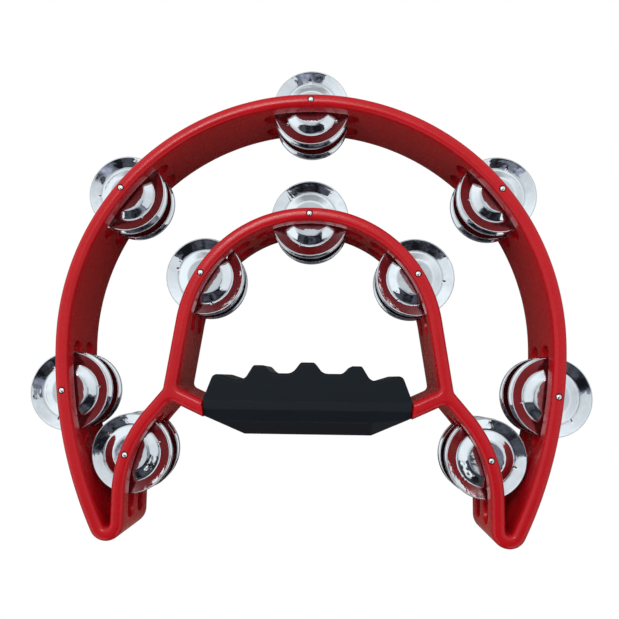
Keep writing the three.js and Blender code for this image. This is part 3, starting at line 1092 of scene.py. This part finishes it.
pin_data, jingle_data = make_pin_mesh(), make_jingle_mesh()
for station in STATIONS:
    x, y = pin_place(station)
    pin = add_object("pin_shaft_" + station, pin_data)
    pin.location = Vector((x, y + CENTRE_Y, node_box("pin_" + station)[0][2])) * MM
    finish_piece(pin, steel, "root", ["pin_" + station])
    across = pin_place(station) - wall_centre(station)
    wall = Matrix.Rotation(math.atan2(across[1], across[0]), 4, "Z")
    for row in ("rear", "front"):
        pair_lean = [random_turn(most) for most in PAIR_LEAN]
        for side in ("near", "far"):
            node = f"jingle_{station}_{row}_{side}"
            low, high = node_box(node)
            height = low[2] if side == "near" else high[2]
            data = jingle_data.copy()
            data.transform(Matrix.Rotation(rng.uniform(0, 2 * math.pi), 4, "Z"))
            disc = add_object(f"disc_{station}_{row}_{side}", data)
            lean = Matrix.Rotation(pair_lean[0] + random_turn(OWN_LEAN), 4, "Y")
            lean = Matrix.Rotation(pair_lean[1] + random_turn(OWN_LEAN), 4, "X") @ lean
            lean = wall @ lean @ wall.transposed()
            flip = Matrix.Rotation(math.pi if side == "far" else 0, 4, "X")
            sag = rng.uniform(*SAG_ACROSS), rng.uniform(*SAG_DOWN)
            place = Matrix.Translation(Vector((x + sag[0], y + sag[1] + CENTRE_Y, height)) * MM)
            disc.matrix_world = place @ lean @ flip
            finish_piece(disc, nickel, f"{station}_{row}_{side}", [node])


# ------------------------------------------------------------------------------- floor, light and camera

FLOOR_BOUNCE = (0.46, 0.34, 0.28)


def stage_sheet(name, corners, material):
    """A flat stage piece with its corners in millimetres."""
    builder = Builder()
    builder.faces.append(tuple(builder.add(corners)))
    obj = link_object(name, builder.mesh(name))
    obj.data.materials.append(material)
    return obj


def pale_floor():
    """White for the camera; dim and warm for the light that the object gets back from it."""
    f = Finish("pale_floor")
    f.set(Base_Color=FLOOR_BOUNCE + (1,), Roughness=0.9, Specular_IOR_Level=0.0)
    f.show(f.camera_sees(f.node("ShaderNodeEmission", Strength=1.0), f.shader))
    return f.material


FLOOR_HALF = 2000
FLOOR_HEIGHT = -0.6
# The camera's aim is off the middle of the CAD box and its turns are in degrees, both fitted to the photo.
CAMERA_OFF_MIDDLE = (-0.6, -5.2, 0.0)
CAMERA_DISTANCE = 346.8
CAMERA_TURN = (6.01, 1.82, 0.72)
CAMERA_SENSOR, CAMERA_LENS, CAMERA_SHIFT = 36, 37.73, 0.00165

camera = link_object("camera", bpy.data.cameras.new("camera"))
camera.rotation_euler = [math.radians(a) for a in CAMERA_TURN]
aim = (cad_low + cad_high) / 2 / MM + Vector(CAMERA_OFF_MIDDLE)
camera.location = (aim + camera.rotation_euler.to_matrix() @ Vector((0, 0, 1)) * CAMERA_DISTANCE) * MM
camera.data.sensor_width = CAMERA_SENSOR
camera.data.lens = CAMERA_LENS
camera.data.shift_x = CAMERA_SHIFT
camera.data.clip_start = 0.01
bpy.context.scene.camera = camera

square = ((-1, -1), (1, -1), (1, 1), (-1, 1))
stage_sheet("floor", [(x * FLOOR_HALF, y * FLOOR_HALF, FLOOR_HEIGHT) for x, y in square], pale_floor())

# The studio above the object: its ceiling is white, and two dark cards stand for the room behind the camera.
# ROOM_CLOUDS has the noise and the glow it turns into, and ROOM_NEARING has Y in metres and the glow's growth
# along it, each as from, to, from and to.
CEILING = 700
ROOM_EDGE = [
    (-520, -250), (-260, -215), (-200, -120), (-100, -90), (80, -85), (95, 60), (190, 60), (215, -110),
    (300, -180), (460, -250), (430, -600), (200, -1000), (-200, -1000), (-470, -600),
]
ROOM_BACK = [(-260, CEILING), (260, CEILING), (260, 0), (-260, 0)]
ROOM_BACK_Y = -1000
ROOM_GLOW = 0.012
ROOM_COLOUR = (0.88, 0.95, 1.2)
ROOM_CLOUDS = 0.45, 0.62, ROOM_GLOW * 0.8, ROOM_GLOW * 12
ROOM_NEARING = -0.28, -0.12, 1.0, 7.0


def dark_card(name, corners):
    """A dim card that the metal mirrors and the camera doesn't see."""
    f = Finish(name)
    f.tree.nodes.remove(f.shader)
    place = f.node("ShaderNodeNewGeometry").outputs["Position"]
    clouds = f.ramp(f.noise(5.0, 4.0, place), *ROOM_CLOUDS)
    glow = f.node("ShaderNodeEmission", Color=ROOM_COLOUR + (1,))
    f.link(f.math("MULTIPLY", clouds, f.ramp(f.axes(place)["Y"], *ROOM_NEARING)), glow.inputs["Strength"])
    f.show(glow.outputs[0])
    stage_sheet(name, corners, f.material).visible_camera = False


dark_card("dark_room_high", [(x, y, CEILING) for x, y in ROOM_EDGE])
dark_card("dark_room_low", [(x, ROOM_BACK_Y, z) for x, z in ROOM_BACK])

SOFTBOX_PLACE, SOFTBOX_AIM = Vector((-85, 230, 620)), Vector((0, 60, 20))
SOFTBOX_SIZE, SOFTBOX_POWER = (200, 140), 1.8


def make_softbox():
    """A soft light over the top of the rim that lights only the plastic, the rubber and the pins."""
    light = bpy.data.lights.new("softbox", "AREA")
    light.shape = "RECTANGLE"
    light.size, light.size_y = (side * MM for side in SOFTBOX_SIZE)
    light.energy = SOFTBOX_POWER
    softbox = link_object("softbox", light)
    softbox.location = SOFTBOX_PLACE * MM
    softbox.rotation_euler = (SOFTBOX_AIM - SOFTBOX_PLACE).to_track_quat("-Z", "Y").to_euler()
    receivers = bpy.data.collections.new("softbox_receivers")
    for obj in bpy.context.scene.objects:
        if obj.name.startswith(("frame_", "grip_", "pin_")):
            receivers.objects.link(obj)
    softbox.light_linking.receiver_collection = receivers


make_softbox()

# The white surroundings: brightness, tint, and how they dim along each axis: from, to, and the share left.
WORLD_STRENGTH = 1.64
WORLD_TINT = (0.89, 0.96, 1.0)
WORLD_DIMS = {"X": (0.45, 1.0, 0.65), "Y": (0.74, 0.92, 0.4), "Z": (0.70, 0.97, 0.60)}


def studio_world():
    """White for the camera; for the light, dimmer towards the right, beyond the rim's top and overhead."""
    world = bpy.data.worlds.new("studio")
    bpy.context.scene.world = world
    world.use_nodes = True
    f = Nodes(world.node_tree)
    axes = f.axes(f.place("Generated"))
    level = WORLD_STRENGTH
    for axis, (low, high, dim) in WORLD_DIMS.items():
        level = f.math("MULTIPLY", level, f.ramp(axes[axis], low, high, 1.0, dim))
    sky = f.tree.nodes["Background"]
    sky.inputs["Color"].default_value = WORLD_TINT + (1,)
    f.link(level, sky.inputs["Strength"])
    seen = f.camera_sees(f.node("ShaderNodeBackground", Color=(1, 1, 1, 1)), sky)
    f.link(seen, f.tree.nodes["World Output"].inputs["Surface"])


studio_world()
bpy.context.scene.view_settings.view_transform = "Standard"
